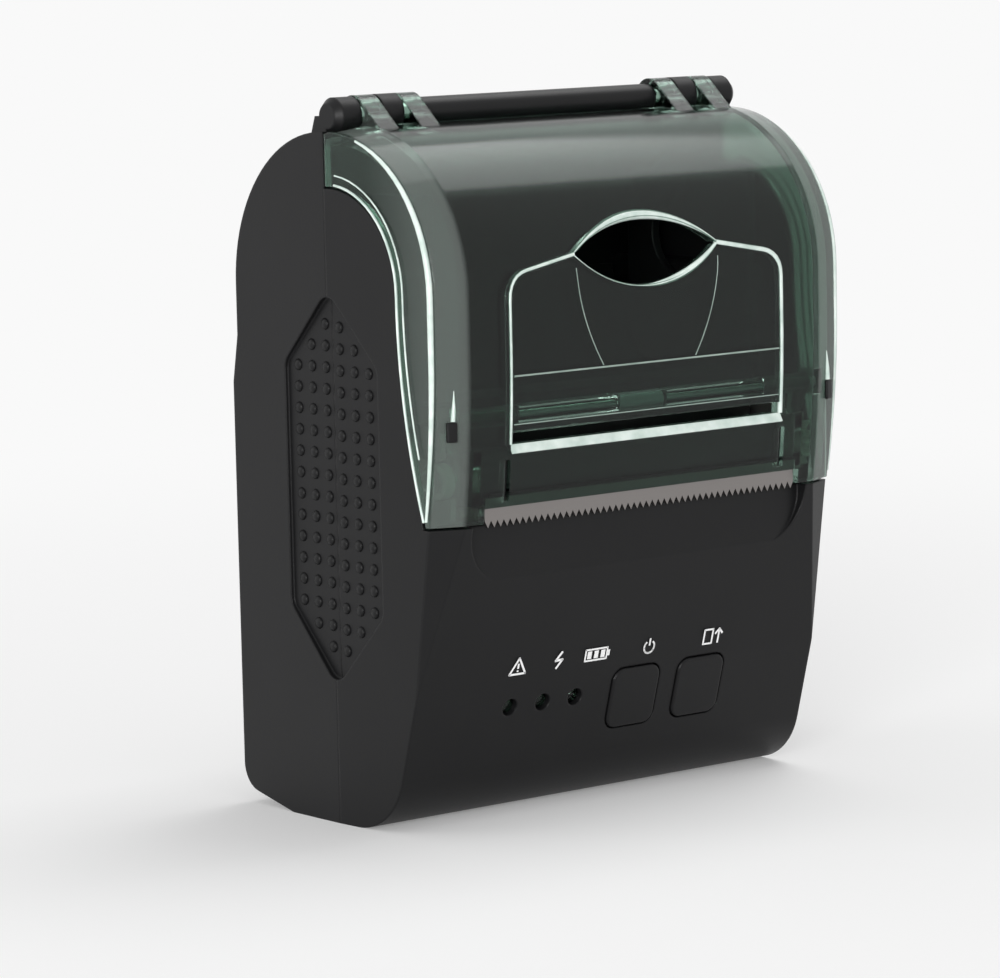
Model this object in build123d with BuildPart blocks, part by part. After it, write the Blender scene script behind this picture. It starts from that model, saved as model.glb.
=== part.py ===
from build123d import *
from math import asin, atan2, cos, degrees, pi, radians, sin, sqrt
import os

# Portable 58 mm receipt printer, standing upright. X is across, Y runs from front (-) to back (+), Z is up.
# The origin is at the middle of the box's floor. All sizes are in mm.

# Housing
half_width = 38.0            # at the seam, the widest place
side_draft = 0.032           # lean of the side faces, per mm away from the seam
seam_y = 0.7                 # plane where the two shells meet
wall = 2.0                   # walls of both shells
side_wall = 2.4              # side walls at the seam
back_y = 24.0                # lower back face
upper_back_y = 22.7          # upper back face, behind the paper bay
step_low_z = 61.0            # ramp between the two back faces
step_high_z = 67.8
crown_y = 12.0               # the base is flat in front of this line and rises behind it
crown_rise = 2.6
back_corner = 4.0
roof_z = 75.3                # height of the centre of the round top
foot_y = -10.87              # corner of base and front face, before rounding
foot_radius = 10.0
crease_y = -16.4             # crease of the front face
crease_z = 19.2
front_top_y = -22.2          # top edge of the front face
front_top_z = 43.3
scoop_y = -20.3              # flat recess under the tear bar
scoop_half_width = 31.3
scoop_low_z = 35.0
scoop_corner = 7.5
facet_width = 4.7            # facet down each front corner, at its top
facet_depth = 2.3

# Paper cover
gap = 0.35                   # running gap between the cover and the shells
cover_wall = 2.0
cover_front_y = -24.0
cover_low_y = -22.3          # front of the cover at its bottom edge
cover_bend_z = 68.0          # the front starts to lean back below this height
cover_low_z = 43.7
roof_radius = 22.7
band_front_y = -22.0         # edge of the cover's side band
band_low_y = -19.9
band_radius = 22.0
band_inner_x = 32.6          # where the bevel beside the front face starts
seam_radius = 14.5           # lower edge of the side band, against the front shell
seam_low_y = -19.4
cover_end_y = 0.3

# Hinge
hinge_y = 0.4
hinge_z = 99.4
rod_radius = 1.3
sleeve_radius = 2.0
sleeve_half = 21.8
knuckle_radius = 2.75
knob_radius = 2.6
fit = 0.05                   # radial clearance of every running fit
inner_lug = (22.1, 25.4)     # stretches along X, the same on both sides
housing_knuckle = (25.7, 29.2)
outer_lug = (29.5, 32.8)
knob = (33.1, 37.3)

# Release lever
window_half = 25.3
lever_gap = 0.3
window_low_z = 53.2
window_sill_z = 54.4
lever_low_z = 56.0
shoulder_z = 77.6
lens_corner_x = 13.25
lens_corner_z = 79.8
lens_top_z = 84.2
lens_low_z = 74.8
window_corner = 4.0
lever_thick = 1.8
pivot_y = -20.0
pivot_z = 58.2
pivot_barrel = 1.4
pivot_pin_radius = 0.7
pivot_barrel_half = 32.4
cam_length = 3.8
cam_reach = 1.3
cam_radius = 0.9
spring_room = 9.0
slot_low_z = 46.5             # narrow slots beside the cover's lower band
slot_high_z = 52.3
slot_width = 1.0
mouth_z = 45.8               # the cover ends here above the tear bar

# Platen, tear bar and print mechanism
platen_y = -15.2
platen_z = 49.3
platen_radius = 3.9
platen_half = 28.8
shaft_radius = 1.5
bush_radius = 2.5
cheek_in = 29.4              # cover ribs that carry the platen
cheek_thick = 1.4
plate_in = 31.2              # side plates of the mechanism frame
plate_thick = 1.0
gear_in = 32.8
gear_width = 2.0
gear_module = 0.5
platen_teeth = 16
idler_teeth = 24
pinion_teeth = 12
idler_pin_radius = 1.0
motor_radius = 7.0
motor_length = 13.7
motor_shaft_radius = 0.75
blade_half = 29.0
blade_y = -21.65
blade_thick = 0.5
blade_top_z = 47.2
blade_root_z = 44.0
blade_tip_z = 43.0
tooth_pitch = 1.13
head_gap = 0.2
head_thick = 1.0
sink_thick = 2.4
spring_length = 3.6
frame_sheet = 1.0

# Control panel
button_x = (3.2, 15.6)
button_width = 8.8
button_height = 9.1
button_corner = 1.8
button_gap = 0.25
button_z = 14.9
button_proud = 0.25
button_travel = 0.6
led_x = (-20.0, -14.0, -8.0)
led_rise = 1.35              # LED holes above the middle of the buttons, along the slope
led_radius = 1.3
board_depth = 7.0            # from the panel's face to the board
board_thick = 1.2
board_half = 31.0
board_low = -5.5
board_high = 15.5
port_length = 7.5            # charging socket
port_depth = 2.6
port_rise = 3.75

# Paper bay and battery
bay_radius = 18.3
bay_wall = 1.5
bay_half = 29.2
cheek_wall = 1.4
chute_y = -11.2
chute_low_z = 51.2
battery_half = 27.0
battery_front_y = 5.5
battery_low_z = 9.5
battery_high_z = 52.0
battery_wall = 1.2
door_thick = 1.2
door_margin = 2.0
screw_x = 33.6
screw_low_z = 9.5
screw_high_z = 72.5
screw_radius = 1.0
screw_head_radius = 1.9

os.makedirs("parts", exist_ok=True)


def save(part, name):
    part.label = name
    export_step(part, "parts/" + name + ".step")


def outline(plane, points):
    """A closed straight-sided face through points of a plane."""
    with BuildSketch(plane) as sketch:
        with BuildLine():
            Polyline(*points, close=True)
        make_face()
    return sketch.sketch


def plan(inset):
    """The six-sided plan of the housing, wider at the seam than at the front and back."""
    reach = 40.0
    near = half_width - inset
    far = near - side_draft * reach
    return outline(Plane.XY, [(near, seam_y), (far, seam_y + reach), (-far, seam_y + reach),
                              (-near, seam_y), (-far, seam_y - reach), (far, seam_y - reach)])


def arc_height(centre_y, radius, y):
    """Height of the round top at y."""
    return roof_z + sqrt(radius**2 - (y - centre_y)**2)


def both(stretch):
    """The same stretch of X on the left and on the right."""
    return [stretch, (-stretch[1], -stretch[0])]


def disc(stretch, centre, radius):
    """A short cylinder along X."""
    with BuildSketch(Plane.YZ.offset(stretch[0])) as sketch:
        with Locations(centre):
            Circle(radius)
    with BuildPart() as part:
        extrude(sketch.sketch, amount=stretch[1] - stretch[0])
    return part.part


hinge = (hinge_y, hinge_z)
platen = (platen_y, platen_z)
pivot = (pivot_y, pivot_z)
tall = 120.0
plan_face = plan(0)


# Rear shell
def rear_face(inset, open_y):
    """Side view of the rear shell, or of its hollow when inset is the wall."""
    top_radius = upper_back_y - seam_y - inset
    with BuildSketch(Plane.YZ) as sketch:
        with BuildLine():
            corners = Polyline((open_y, roof_z + top_radius), (open_y, inset), (crown_y, inset),
                               (back_y - inset, crown_rise + inset), (back_y - inset, step_low_z),
                               (upper_back_y - inset, step_high_z), (upper_back_y - inset, roof_z))
            TangentArc(corners @ 1, (seam_y, roof_z + top_radius), tangent=(0, 1))
            if open_y < seam_y:
                Line((seam_y, roof_z + top_radius), (open_y, roof_z + top_radius))
        make_face()
        near_corner = sketch.vertices().sort_by_distance((back_y - inset, crown_rise + inset))[:1]
        fillet(near_corner, radius=back_corner - inset / 2)
    return sketch.sketch


rear_outer = rear_face(0, seam_y)
rear_inner = rear_face(wall, seam_y - 1)
leg = outline(Plane.YZ, [(seam_y, roof_z + band_radius - 1.5), (seam_y, hinge_z), (hinge_y + knuckle_radius, hinge_z),
                         (hinge_y + knuckle_radius + 1.5, roof_z + band_radius - 2.0)])
battery_bay_half = battery_half + 0.4
bay_front_y = battery_front_y - 0.3
door_low_z = battery_low_z - 0.4
door_high_z = battery_high_z + 0.4

with BuildPart() as rear_shell:
    extrude(rear_outer, amount=half_width, both=True)
    extrude(plan_face, amount=tall, mode=Mode.INTERSECT)
    extrude(rear_inner, amount=half_width - side_wall, both=True, mode=Mode.SUBTRACT)
    # Battery box inside the lower back
    with BuildSketch(Plane.XZ.offset(-(bay_front_y - battery_wall))) as box_outer:
        with Locations((0, (door_low_z + door_high_z) / 2)):
            Rectangle(2 * (battery_bay_half + battery_wall), door_high_z - door_low_z + 2 * battery_wall)
    extrude(amount=-(back_y - wall / 2 - bay_front_y + battery_wall))
    with BuildSketch(Plane.XZ.offset(-bay_front_y)) as box_inner:
        with Locations((0, (door_low_z + door_high_z) / 2)):
            RectangleRounded(2 * battery_bay_half, door_high_z - door_low_z, 1.5)
    extrude(amount=-(back_y - bay_front_y + 1), mode=Mode.SUBTRACT)
    # Rebate for the battery cover
    with BuildSketch(Plane.XZ.offset(-back_y)) as rebate:
        with Locations((0, (door_low_z + door_high_z) / 2)):
            RectangleRounded(2 * (battery_bay_half + door_margin + 0.2), door_high_z - door_low_z + 2 * door_margin + 0.4, 3)
    extrude(amount=door_thick, mode=Mode.SUBTRACT)
    # Screw bosses, with sunk heads
    for x in (-screw_x, screw_x):
        for z, face_y in ((screw_low_z, back_y), (screw_high_z, upper_back_y)):
            with BuildSketch(Plane.XZ.offset(-seam_y)) as boss:
                with Locations((x, z)):
                    Circle(screw_head_radius + 0.5)
            extrude(amount=-(face_y - seam_y - 0.5))
            with BuildSketch(Plane.XZ.offset(-seam_y)) as bore:
                with Locations((x, z)):
                    Circle(screw_radius + fit)
            extrude(amount=-(face_y - seam_y + 1), mode=Mode.SUBTRACT)
            with BuildSketch(Plane.XZ.offset(-(face_y - 3.0))) as sunk:
                with Locations((x, z)):
                    Circle(screw_head_radius + 0.2)
            extrude(amount=-4.0, mode=Mode.SUBTRACT)
    # Room for the cover's hinge lugs
    for stretch in (inner_lug, outer_lug):
        for side in both((stretch[0] - 0.3, stretch[1] + 0.3)):
            add(disc(side, hinge, knuckle_radius + gap), mode=Mode.SUBTRACT)
    # Housing knuckles and the two end knobs
    for side in both(housing_knuckle):
        with BuildSketch(Plane.YZ.offset(side[0])) as knuckle:
            with Locations(hinge):
                Circle(knuckle_radius)
        extrude(amount=side[1] - side[0])
        extrude(leg.moved(Location((side[0], 0, 0))), amount=side[1] - side[0])
    for side in both(knob):
        extrude(leg.moved(Location((side[0], 0, 0))), amount=side[1] - side[0] - 0.8)
    for side in (1, -1):
        with BuildSketch(Plane.YZ.offset(side * knob[0])) as knob_face:
            with Locations(hinge):
                Circle(knob_radius)
        extrude(amount=side * (knob[1] - knob[0] - 1.0))
        with BuildSketch(Plane.YZ.offset(side * (knob[1] - 1.0))) as knob_end:
            with Locations(hinge):
                Circle(knob_radius)
        extrude(amount=side * 1.0, taper=40)
    add(disc((-knob[1] + 1.8, knob[1] - 1.8), hinge, rod_radius + fit), mode=Mode.SUBTRACT)

# Front shell
seam_inner = seam_radius - gap


def front_face(inset):
    """Side view of the front shell without its ears, or of its hollow."""
    slope_low = (crease_y - foot_y) / crease_z
    slope_high = (front_top_y - crease_y) / (front_top_z - crease_z)
    with BuildSketch(Plane.YZ) as sketch:
        with BuildLine():
            Polyline((seam_y + inset, inset), (foot_y + inset * (1 + slope_low), inset),
                     (crease_y + inset, crease_z), (front_top_y + inset - slope_high * inset, front_top_z - inset),
                     (seam_y + inset, front_top_z - inset), close=True)
        make_face()
        foot = sketch.vertices().sort_by_distance((foot_y + inset * (1 + slope_low), inset))[:1]
        fillet(foot, radius=foot_radius - inset)
        crease = sketch.vertices().sort_by_distance((crease_y + inset, crease_z))[:1]
        fillet(crease, radius=30)
    return sketch.sketch


def seam_face(shrink, end_y, low_z):
    """Everything behind the curved seam between the cover and the front shell's ears."""
    radius = seam_radius - shrink
    with BuildSketch(Plane.YZ) as sketch:
        with BuildLine():
            top = (end_y, arc_height(0, radius, end_y))
            TangentArc((-radius, roof_z), top, tangent=(0, 1))
            TangentArc((-radius, roof_z), (seam_low_y + shrink, low_z), tangent=(0, -1))
            Polyline((seam_low_y + shrink, low_z), (end_y, low_z), top)
        make_face()
    return sketch.sketch


front_outer = front_face(0)
front_inner = front_face(wall)
ear = seam_face(gap, seam_y, front_top_z - 1.0)
facet_origin = Vector(-half_width + side_draft * (seam_y - band_low_y), band_low_y, front_top_z)
facet_across = Vector(facet_width, -facet_depth, 0)
facet_down = Vector(-half_width + side_draft * (seam_y - crease_y), crease_y, crease_z) - facet_origin
facet_normal = facet_down.cross(facet_across).normalized()

slope_angle = degrees(atan2(foot_y - crease_y, crease_z))
panel_normal = Vector(0, -cos(radians(slope_angle)), -sin(radians(slope_angle)))
panel_y = crease_y + (crease_z - button_z) * (foot_y - crease_y) / crease_z
panel = Plane(origin=(0, panel_y, button_z), x_dir=(1, 0, 0), z_dir=panel_normal)
port_centre = panel.from_local_coords(Vector(0, port_rise, -board_depth - board_thick - port_depth / 2))
port_y = port_centre.Y
port_z = port_centre.Z

with BuildPart() as front_shell:
    extrude(front_outer, amount=half_width, both=True)
    extrude(ear, amount=half_width, both=True)
    extrude(plan_face, amount=tall, mode=Mode.INTERSECT)
    extrude(front_inner, amount=half_width - side_wall, both=True, mode=Mode.SUBTRACT)
    with BuildSketch(Plane.YZ) as above_ledge:
        with BuildLine():
            Polyline((-18.6, front_top_z - wall - 1), (-18.6, tall), (seam_y + 1, tall),
                     (seam_y + 1, front_top_z - wall - 1), close=True)
        make_face()
    extrude(amount=half_width - side_wall, both=True, mode=Mode.SUBTRACT)
    # Facets down the front corners
    for side in (1, -1):
        normal = Vector(facet_normal.X * side, facet_normal.Y, facet_normal.Z)
        origin = Vector(facet_origin.X * side, facet_origin.Y, facet_origin.Z)
        with BuildSketch(Plane(origin=origin, z_dir=normal)) as facet:
            Rectangle(70, 70)
        extrude(amount=10, mode=Mode.SUBTRACT)
    # Scoop under the tear bar
    with BuildSketch(Plane.XZ.offset(-scoop_y)) as scoop:
        with Locations((0, scoop_low_z + 10)):
            RectangleRounded(2 * scoop_half_width, 20, scoop_corner)
    extrude(amount=8, mode=Mode.SUBTRACT)
    # Button windows and LED holes
    with BuildSketch(panel.offset(1)) as windows:
        for x in button_x:
            with Locations((x, 0)):
                RectangleRounded(button_width + 2 * button_gap, button_height + 2 * button_gap, button_corner + button_gap)
        for x in led_x:
            with Locations((x, led_rise)):
                Circle(led_radius)
    extrude(amount=-(wall + 2), mode=Mode.SUBTRACT)
    # Screw bosses and the shelves that carry the mechanism
    for x in (-screw_x, screw_x):
        for z in (screw_low_z, screw_high_z):
            with BuildSketch(Plane.XZ.offset(-seam_y)) as boss:
                with Locations((x, z)):
                    Circle(screw_head_radius + 0.4)
            extrude(amount=9.0)
            with BuildSketch(Plane.XZ.offset(-seam_y)) as bore:
                with Locations((x, z)):
                    Circle(screw_radius)
            extrude(amount=7.6, mode=Mode.SUBTRACT)
    for side in both((plate_in - 0.5, half_width - side_wall + 0.5)):
        with BuildSketch(Plane.YZ.offset(side[0])) as shelf:
            with BuildLine():
                Polyline((-15.2, 32.2), (-8.5, 32.2), (-8.5, 34.0), (-15.8, 34.0), close=True)
            make_face()
        extrude(amount=side[1] - side[0])
    # Charging socket's window in the right side
    with BuildSketch(Plane.YZ.offset(half_width - side_wall - 1)) as port:
        with Locations((port_y, port_z)):
            RectangleRounded(port_depth + 0.8, port_length + 0.8, 1.0, rotation=slope_angle)
    extrude(amount=side_wall + 2, mode=Mode.SUBTRACT)
    # Posts for the board
    for x in (-board_half + 4, board_half - 4):
        with BuildSketch(panel.offset(-wall + 0.5)) as post:
            with Locations((x, board_high - 2.5)):
                Circle(1.8)
        extrude(amount=-(board_depth - wall + 0.5))

# Grip diamonds, sunk in both sides across the seam
grip_points = [(seam_y, 75.4), (seam_y + 10.45, 64.8), (seam_y + 10.45, 30.3),
               (seam_y, 19.4), (seam_y - 10.45, 30.3), (seam_y - 10.45, 64.8)]
grip_depth = 0.9


def grip_face(plane):
    """The long six-sided grip outline, with round corners."""
    with BuildSketch(plane) as sketch:
        with BuildLine():
            Polyline(*grip_points, close=True)
        make_face()
        fillet(sketch.vertices(), radius=2.5)
    return sketch.sketch


grip_cuts = []
for side in (1, -1):
    with BuildPart() as grip_cut:
        extrude(grip_face(Plane.YZ.offset(side * (half_width - grip_depth))), amount=side * 5)
    grip_cuts.append(grip_cut.part)
rear_piece = rear_shell.part - grip_cuts
front_piece = front_shell.part - grip_cuts
save(rear_piece, "rear_shell")
save(front_piece, "front_shell")

# Battery cover, clipped into the back, and the battery pack
with BuildPart() as battery_cover:
    with BuildSketch(Plane.XZ.offset(-back_y)) as door:
        with Locations((0, (door_low_z + door_high_z) / 2)):
            RectangleRounded(2 * (battery_bay_half + door_margin), door_high_z - door_low_z + 2 * door_margin, 2.8)
    extrude(amount=door_thick - 0.1)
    # Finger grooves near the top
    for step in range(5):
        with BuildSketch(Plane.XZ.offset(-back_y)) as groove:
            with Locations((0, door_high_z - 4 - 1.8 * step)):
                SlotOverall(18, 0.9)
        extrude(amount=0.4, mode=Mode.SUBTRACT)
    # Clips along both edges
    for x in (-battery_bay_half + 1.2, battery_bay_half - 1.2):
        for z in (door_low_z + 8, door_high_z - 8):
            with BuildSketch(Plane.XZ.offset(-(back_y - door_thick + 0.1))) as clip:
                with Locations((x, z)):
                    Rectangle(1.6, 6)
            extrude(amount=1.0)
save(battery_cover.part, "battery_cover")

with BuildPart() as battery_pack:
    with BuildSketch(Plane.XZ.offset(-battery_front_y)) as pack:
        with Locations((0, (battery_low_z + battery_high_z) / 2)):
            RectangleRounded(2 * battery_half, battery_high_z - battery_low_z, 1.5)
    extrude(amount=-(back_y - door_thick - 1.4 - battery_front_y))
    fillet(battery_pack.faces().sort_by(Axis.Y)[-1].edges(), radius=1.0)
save(battery_pack.part, "battery_pack")

# Paper bucket: a trough for the roll, its two cheeks and the chute down to the print head
bay_centre = (seam_y, roof_z)
bay_outer = bay_radius + bay_wall
trough_start = 232
trough_end = 355


def on_bay(radius, angle):
    """A point of the paper bay's round, by its angle in the side view."""
    return (seam_y + radius * cos(radians(angle)), roof_z + radius * sin(radians(angle)))


middle = (trough_start + trough_end) / 2
with BuildPart() as paper_bucket:
    with BuildSketch(Plane.YZ) as trough:
        with BuildLine():
            ThreePointArc(on_bay(bay_radius, trough_start), on_bay(bay_radius, middle), on_bay(bay_radius, trough_end))
            Line(on_bay(bay_radius, trough_end), on_bay(bay_outer, trough_end))
            ThreePointArc(on_bay(bay_outer, trough_end), on_bay(bay_outer, middle), on_bay(bay_outer, trough_start))
            Line(on_bay(bay_outer, trough_start), on_bay(bay_radius, trough_start))
        make_face()
        with BuildLine():
            Polyline((chute_y, chute_low_z), (chute_y + 1.3, chute_low_z), (chute_y + 1.3, 59.6), (chute_y, 60.0), close=True)
        make_face()
    extrude(amount=bay_half + cheek_wall, both=True)
    for side in both((bay_half, bay_half + cheek_wall)):
        with BuildSketch(Plane.YZ.offset(side[0])) as cheek:
            with Locations(bay_centre):
                Circle(bay_outer)
            with Locations((seam_y, roof_z - 4)):
                Rectangle(26, 34, mode=Mode.INTERSECT)
            with Locations((seam_y + 1, 79)):
                Circle(6.5, mode=Mode.SUBTRACT)
        extrude(amount=side[1] - side[0])
save(paper_bucket.part, "paper_bucket")


# Paper cover
def skin_face(x, front_y, low_y, centre_y, radius, thick):
    """Side view of a skin at x: its lean front, upright stretch and round top."""
    inner = radius - thick
    end_outer = (cover_end_y, arc_height(centre_y, radius, cover_end_y))
    end_inner = (cover_end_y, arc_height(centre_y, inner, cover_end_y))
    with BuildSketch(Plane.YZ.offset(x)) as sketch:
        with BuildLine():
            TangentArc((front_y, cover_bend_z), (low_y, cover_low_z), tangent=(0, -1))
            Line((front_y, cover_bend_z), (front_y, roof_z))
            TangentArc((front_y, roof_z), end_outer, tangent=(0, 1))
            Line(end_outer, end_inner)
            TangentArc((front_y + thick, roof_z), end_inner, tangent=(0, 1))
            Line((front_y + thick, roof_z), (front_y + thick, cover_bend_z))
            TangentArc((front_y + thick, cover_bend_z), (low_y + thick, cover_low_z), tangent=(0, -1))
            Line((low_y + thick, cover_low_z), (low_y, cover_low_z))
        make_face()
    return sketch.sketch


def main_skin(x):
    """The cover's main front skin in side view."""
    return skin_face(x, cover_front_y, cover_low_y, cover_front_y + roof_radius, roof_radius, cover_wall)


def band_skin(x):
    """The skin at the edge of the side band."""
    return skin_face(x, band_front_y, band_low_y, band_front_y + band_radius, band_radius, cover_wall)


def band_face(x):
    """Side view of the cover's side band at x, between the round edge and the seam."""
    with BuildSketch(Plane.YZ.offset(x)) as sketch:
        with BuildLine():
            band_end = (cover_end_y, arc_height(band_front_y + band_radius, band_radius, cover_end_y))
            seam_end = (cover_end_y, arc_height(0, seam_radius, cover_end_y))
            TangentArc((band_front_y, cover_bend_z), (band_low_y, cover_low_z), tangent=(0, -1))
            Line((band_front_y, cover_bend_z), (band_front_y, roof_z))
            TangentArc((band_front_y, roof_z), band_end, tangent=(0, 1))
            Line(band_end, seam_end)
            TangentArc((-seam_radius, roof_z), seam_end, tangent=(0, 1))
            TangentArc((-seam_radius, roof_z), (seam_low_y, cover_low_z), tangent=(0, -1))
            Line((seam_low_y, cover_low_z), (band_low_y, cover_low_z))
        make_face()
    return sketch.sketch


def window_face(edge, low_z):
    """Front view of the lever's window; edge widens it all round."""
    half = window_half + edge
    corner_z = lens_corner_z + edge
    with BuildSketch(front_plane) as sketch:
        with BuildLine():
            Polyline((lens_corner_x, corner_z), (half, shoulder_z + edge), (half, low_z),
                     (-half, low_z), (-half, shoulder_z + edge), (-lens_corner_x, corner_z))
            ThreePointArc((-lens_corner_x, corner_z), (0, lens_top_z + edge), (lens_corner_x, corner_z))
        make_face()
        shoulders = [v for v in sketch.vertices() if abs(v.Y - shoulder_z - edge) < 0.01]
        fillet(shoulders, radius=window_corner + edge)
    return sketch.sketch


front_plane = Plane.XZ.offset(-cover_front_y + 2)
skin_reach = 8.0
roof_centre_y = cover_front_y + roof_radius
bevels = []
for side in (1, -1):
    with BuildPart() as bevel:
        loft([main_skin(side * band_inner_x), band_skin(side * half_width)], ruled=True)
    bevels.append(bevel.part)

strap_end = Vector(-6.2, arc_height(roof_centre_y, roof_radius, -6.2) - 0.3)
strap_way = strap_end - Vector(hinge_y, hinge_z)
strap_angle = atan2(strap_way.Y, strap_way.X) % (2 * pi)
touch_angle = strap_angle - (pi / 2 - asin(knuckle_radius / strap_way.length))
strap_touch = (hinge_y + knuckle_radius * cos(touch_angle), hinge_z + knuckle_radius * sin(touch_angle))

with BuildPart() as paper_cover:
    extrude(main_skin(0), amount=band_inner_x, both=True)
    add(bevels)
    for side in both((half_width - side_wall + 0.4, half_width)):
        extrude(band_face(side[0]), amount=side[1] - side[0])
    for side in both((half_width - side_wall - gap, half_width + 1)):
        ear_room = seam_face(0, cover_end_y + 0.1, cover_low_z)
        extrude(ear_room.moved(Location((side[0], 0, 0))), amount=side[1] - side[0], mode=Mode.SUBTRACT)
    extrude(plan_face, amount=tall, mode=Mode.INTERSECT)
    # Room for the rod, the housing's knuckles and the knobs
    add(disc((-half_width, half_width), hinge, sleeve_radius + gap), mode=Mode.SUBTRACT)
    for stretch in (housing_knuckle, knob):
        for side in both((stretch[0] - 0.3, stretch[1] + 0.3)):
            add(disc(side, hinge, knuckle_radius + gap), mode=Mode.SUBTRACT)
    # Hinge lugs with their straps
    for stretch in (inner_lug, outer_lug):
        for side in both(stretch):
            with BuildSketch(Plane.YZ.offset(side[0])) as lug:
                with Locations(hinge):
                    Circle(knuckle_radius)
                with BuildLine():
                    Polyline(strap_touch, (strap_end.X, strap_end.Y), (strap_end.X + 1.5, strap_end.Y - 1.0),
                             (hinge_y - 1.5, hinge_z - 2.0), (hinge_y - 0.5, hinge_z), close=True)
                make_face()
            extrude(amount=side[1] - side[0])
            add(disc(side, hinge, rod_radius + fit), mode=Mode.SUBTRACT)
    # Window of the release lever, and the bevelled sill below it
    extrude(window_face(0, window_sill_z), amount=-skin_reach, mode=Mode.SUBTRACT)
    sill = outline(Plane.YZ.offset(-window_half), [(cover_front_y - 1, window_low_z - 0.6), (cover_front_y + 2.6, window_sill_z),
                                                   (cover_front_y - 1, window_sill_z)])
    extrude(sill, amount=2 * window_half, mode=Mode.SUBTRACT)
    # Two narrow slots beside the lower band
    for x in (-window_half - 0.4, window_half + 0.4):
        with BuildSketch(front_plane) as slot:
            with Locations((x, (slot_low_z + slot_high_z) / 2)):
                Rectangle(slot_width, slot_high_z - slot_low_z)
        extrude(amount=-skin_reach, mode=Mode.SUBTRACT)
    # Mouth over the tear bar, and the bar's slot
    with BuildSketch(front_plane) as mouth:
        with Locations((0, (cover_low_z + mouth_z) / 2 - 0.5)):
            Rectangle(2 * blade_half + 1.0, mouth_z - cover_low_z + 1.0)
    extrude(amount=-skin_reach, mode=Mode.SUBTRACT)
    with BuildSketch(Plane.XZ.offset(-(blade_y - blade_thick / 2 - fit))) as blade_slot:
        with Locations((0, (mouth_z + blade_top_z) / 2)):
            Rectangle(2 * blade_half + 0.2, blade_top_z - mouth_z + 0.2)
    extrude(amount=-(blade_thick + 2 * fit), mode=Mode.SUBTRACT)
    # Ribs that carry the platen's bushes
    for side in both((cheek_in, cheek_in + cheek_thick)):
        with BuildSketch(Plane.YZ.offset(side[0])) as cheek:
            with Locations(platen):
                Circle(bush_radius + 1.1)
            with BuildLine():
                Polyline((cover_low_y + 0.9, platen_z - 3.0), (cover_low_y + 0.1, platen_z + 4.7),
                         (platen_y + 0.5, platen_z + bush_radius + 1.0), (platen_y, platen_z - bush_radius - 1.1), close=True)
            make_face()
        extrude(amount=side[1] - side[0])
        add(disc(side, platen, bush_radius), mode=Mode.SUBTRACT)
    # Bosses for the lever's pin
    for side in both((pivot_barrel_half + 0.4, pivot_barrel_half + 2.0)):
        boss = outline(Plane.YZ.offset(side[0]), [(cover_front_y + 1.7, pivot_z - 1.8), (pivot_y + 1.7, pivot_z - 1.8),
                                                  (pivot_y + 1.7, pivot_z + 1.8), (cover_front_y + 1.2, pivot_z + 1.8)])
        extrude(boss, amount=side[1] - side[0])
    pin_reach = pivot_barrel_half + 1.5
    add(disc((-pin_reach, pin_reach), pivot, pivot_pin_radius + fit), mode=Mode.SUBTRACT)
save(paper_cover.part, "paper_cover")

# Release lever: a clear panel flush with the cover, its barrel, and cams that push off the mechanism frame
with BuildSketch(front_plane) as lever_view:
    lever_half = window_half - lever_gap
    top_z = lens_corner_z - lever_gap
    with BuildLine():
        Polyline((lens_corner_x, top_z), (lever_half, shoulder_z - lever_gap), (lever_half, lever_low_z),
                 (-lever_half, lever_low_z), (-lever_half, shoulder_z - lever_gap), (-lens_corner_x, top_z))
        ThreePointArc((-lens_corner_x, top_z), (0, lens_low_z), (lens_corner_x, top_z))
    make_face()
    lever_shoulders = [v for v in lever_view.vertices() if abs(v.Y - shoulder_z + lever_gap) < 0.01]
    fillet(lever_shoulders, radius=window_corner - lever_gap)

with BuildPart() as release_lever:
    extrude(lever_view.sketch, amount=-skin_reach)
    extrude(skin_face(-window_half, cover_front_y, cover_low_y, roof_centre_y, roof_radius, lever_thick),
            amount=2 * window_half, mode=Mode.INTERSECT)
    web = outline(Plane.YZ.offset(-lever_half + 2), [(cover_front_y + 1.0, pivot_z - 1.0), (pivot_y, pivot_z - 1.0),
                                                     (pivot_y, pivot_z + 1.0), (cover_front_y + 1.0, pivot_z + 1.6)])
    extrude(web, amount=2 * lever_half - 4)
    add(disc((-pivot_barrel_half, pivot_barrel_half), pivot, pivot_barrel))
    # Room for the spring at the middle of the pin
    with BuildSketch(Plane.YZ.offset(-spring_room / 2)) as room:
        with Locations(pivot):
            Rectangle(2 * pivot_barrel + 0.1, 2 * pivot_barrel + 1.2)
    extrude(amount=spring_room, mode=Mode.SUBTRACT)
    for side in both((plate_in - 0.2, plate_in + plate_thick + 0.2)):
        with BuildSketch(Plane.YZ.offset(side[0])) as cam:
            with Locations((pivot_y + cam_reach, pivot_z - cam_length)):
                Circle(cam_radius)
            with BuildLine():
                Polyline((pivot_y - pivot_barrel, pivot_z), (pivot_y + cam_reach - cam_radius, pivot_z - cam_length),
                         (pivot_y + cam_reach + cam_radius, pivot_z - cam_length), (pivot_y + pivot_barrel, pivot_z), close=True)
            make_face()
        extrude(amount=side[1] - side[0])
    add(disc((-pivot_barrel_half, pivot_barrel_half), pivot, pivot_pin_radius + fit), mode=Mode.SUBTRACT)
save(release_lever.part, "release_lever")

pin_half = pivot_barrel_half + 1.4
save(disc((-pin_half, pin_half), pivot, pivot_pin_radius), "lever_pin")

with BuildPart() as lever_spring:
    add(disc((-spring_room / 2 + 0.4, spring_room / 2 - 0.4), pivot, pivot_pin_radius + 0.6))
    add(disc((-spring_room / 2, spring_room / 2), pivot, pivot_pin_radius + fit), mode=Mode.SUBTRACT)
save(lever_spring.part, "lever_spring")

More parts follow.
